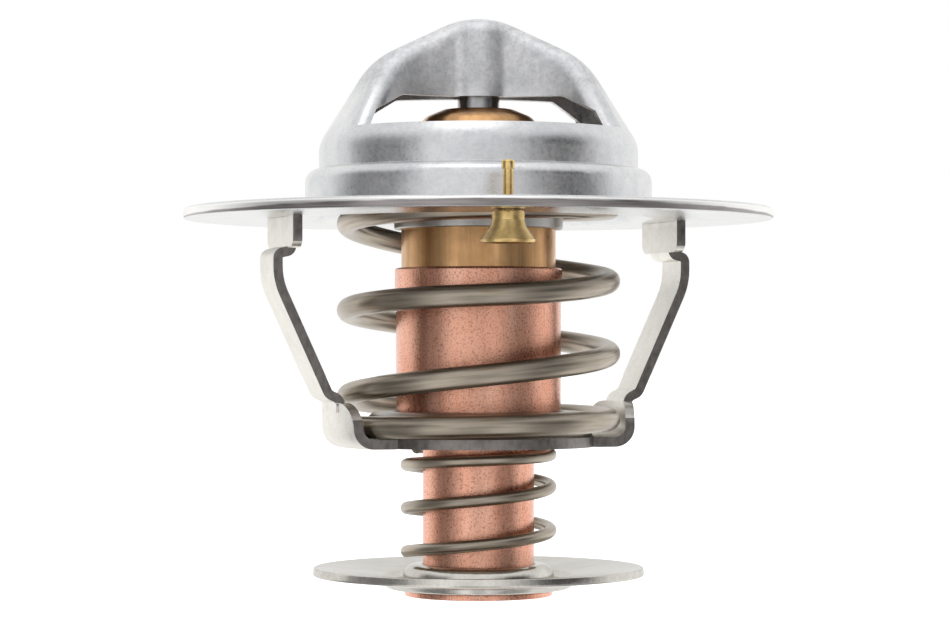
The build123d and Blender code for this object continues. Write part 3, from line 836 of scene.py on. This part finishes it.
def white_stage(name):
    """A white surface that takes the object's shadow. Metal sees the studio's walls in it."""
    material = bpy.data.materials.new(name)
    material.use_nodes = True
    material.node_tree.nodes.clear()
    direction = material.node_tree.nodes.new("ShaderNodeTexCoord").outputs["Object"]
    studio = Studio(material.node_tree, direction)
    matt = studio.fill(studio.new("ShaderNodeBsdfDiffuse"), Color=(floor_white,) * 3)
    glow = studio.fill(studio.new("ShaderNodeEmission"),
                       Strength=studio.maths("MULTIPLY", studio.straight_rays(), floor_glow))
    plain = studio.new("ShaderNodeAddShader")
    level = studio.maths("MULTIPLY", studio.walls(floor_gaps), floor_level)
    ahead = studio.gap(*camera_gap, camera_level)
    mirrored = studio.fill(studio.new("ShaderNodeEmission"),
                           Strength=studio.maths("MULTIPLY", level, ahead))
    shown = studio.new("ShaderNodeMixShader")
    output = studio.new("ShaderNodeOutputMaterial")
    glossy = studio.new("ShaderNodeLightPath").outputs["Is Glossy Ray"]
    for source, socket in ((matt, plain.inputs[0]), (glow, plain.inputs[1]),
                           (glossy, shown.inputs[0]), (plain.outputs[0], shown.inputs[1]),
                           (mirrored, shown.inputs[2]), (shown.outputs[0], output.inputs[0])):
        studio.put(source, socket)
    return material


def studio_world(name):
    """White walls with darker gaps for metal to reflect, and plain white for the camera."""
    world = bpy.data.worlds.new(name)
    world.use_nodes = True
    world.node_tree.nodes.clear()
    outward = world.node_tree.nodes.new("ShaderNodeTexCoord").outputs["Generated"]
    studio = Studio(world.node_tree, outward)
    parts = studio.new("ShaderNodeSeparateXYZ")
    studio.fill(parts, Vector=outward)
    height = parts.outputs[2]
    near_floor = studio.smooth(height, 0.0, floor_end, 1.0, 0.0)
    walls = studio.mix(near_floor, studio.walls(wall_gaps), studio.walls(floor_gaps), "Float")
    beside = studio.maths("ADD", studio.gap(*camera_gap, 0.0),
                          studio.smooth(height, 0.0, stand_end, 0.0, 1.0))
    ahead = studio.maths("MULTIPLY_ADD", studio.maths("MINIMUM", beside, 1.0),
                         1 - camera_level, camera_level)
    rise = studio.smooth(height, sky_start, sky_end, 0.0, 1.0)
    level = studio.mix(rise, studio.maths("MULTIPLY", walls, ahead), sky_level, "Float")
    shown = studio.mix(studio.straight_rays(), level, 1.0, "Float")
    sky = studio.fill(studio.new("ShaderNodeBackground"), Color=(1, 1, 1), Strength=shown)
    studio.fill(studio.new("ShaderNodeOutputWorld"), Surface=sky)
    return world


def level_sheet(name, reach, height, material):
    """A flat square of the stage, in metres."""
    mesh = bpy.data.meshes.new(name)
    corners = [(-reach, -reach, height), (reach, -reach, height),
               (reach, reach, height), (-reach, reach, height)]
    mesh.from_pydata(corners, [], [(0, 1, 2, 3)])
    mesh.materials.append(material)
    sheet = bpy.data.objects.new(name, mesh)
    bpy.context.scene.collection.objects.link(sheet)


def soft_box(name, spot, aim, width, height, watts):
    """An area lamp that points at a spot. Places are in metres."""
    lamp = bpy.data.lights.new(name, "AREA")
    lamp.shape = "RECTANGLE"
    lamp.size, lamp.size_y = width, height
    lamp.energy = watts
    holder = bpy.data.objects.new(name, lamp)
    holder.location = spot
    way = Vector(aim) - Vector(spot)
    holder.rotation_euler = way.to_track_quat("-Z", "Y").to_euler()
    bpy.context.scene.collection.objects.link(holder)


level_sheet("floor", floor_reach, floor_height, white_stage("floor_white"))
bpy.context.scene.world = studio_world("studio")
soft_box("top_box", spot=(-0.1, -0.25, 0.9), aim=(0, 0, 0), width=0.6, height=0.6, watts=1.0)

camera_data = bpy.data.cameras.new("camera")
camera_data.sensor_width = film_width
camera_data.lens = lens_length
camera_data.shift_x = shift_right / picture_width
camera_data.shift_y = shift_up / picture_width
camera_data.clip_start = 0.01
camera_data.clip_end = 20
camera = bpy.data.objects.new("camera", camera_data)
camera.location = (sin(camera_turn) * camera_distance, -cos(camera_turn) * camera_distance,
                   camera_height)
camera.rotation_euler = (pi / 2, 0, camera_turn)
bpy.context.scene.collection.objects.link(camera)
bpy.context.scene.camera = camera

bpy.context.scene.view_settings.view_transform = "Standard"
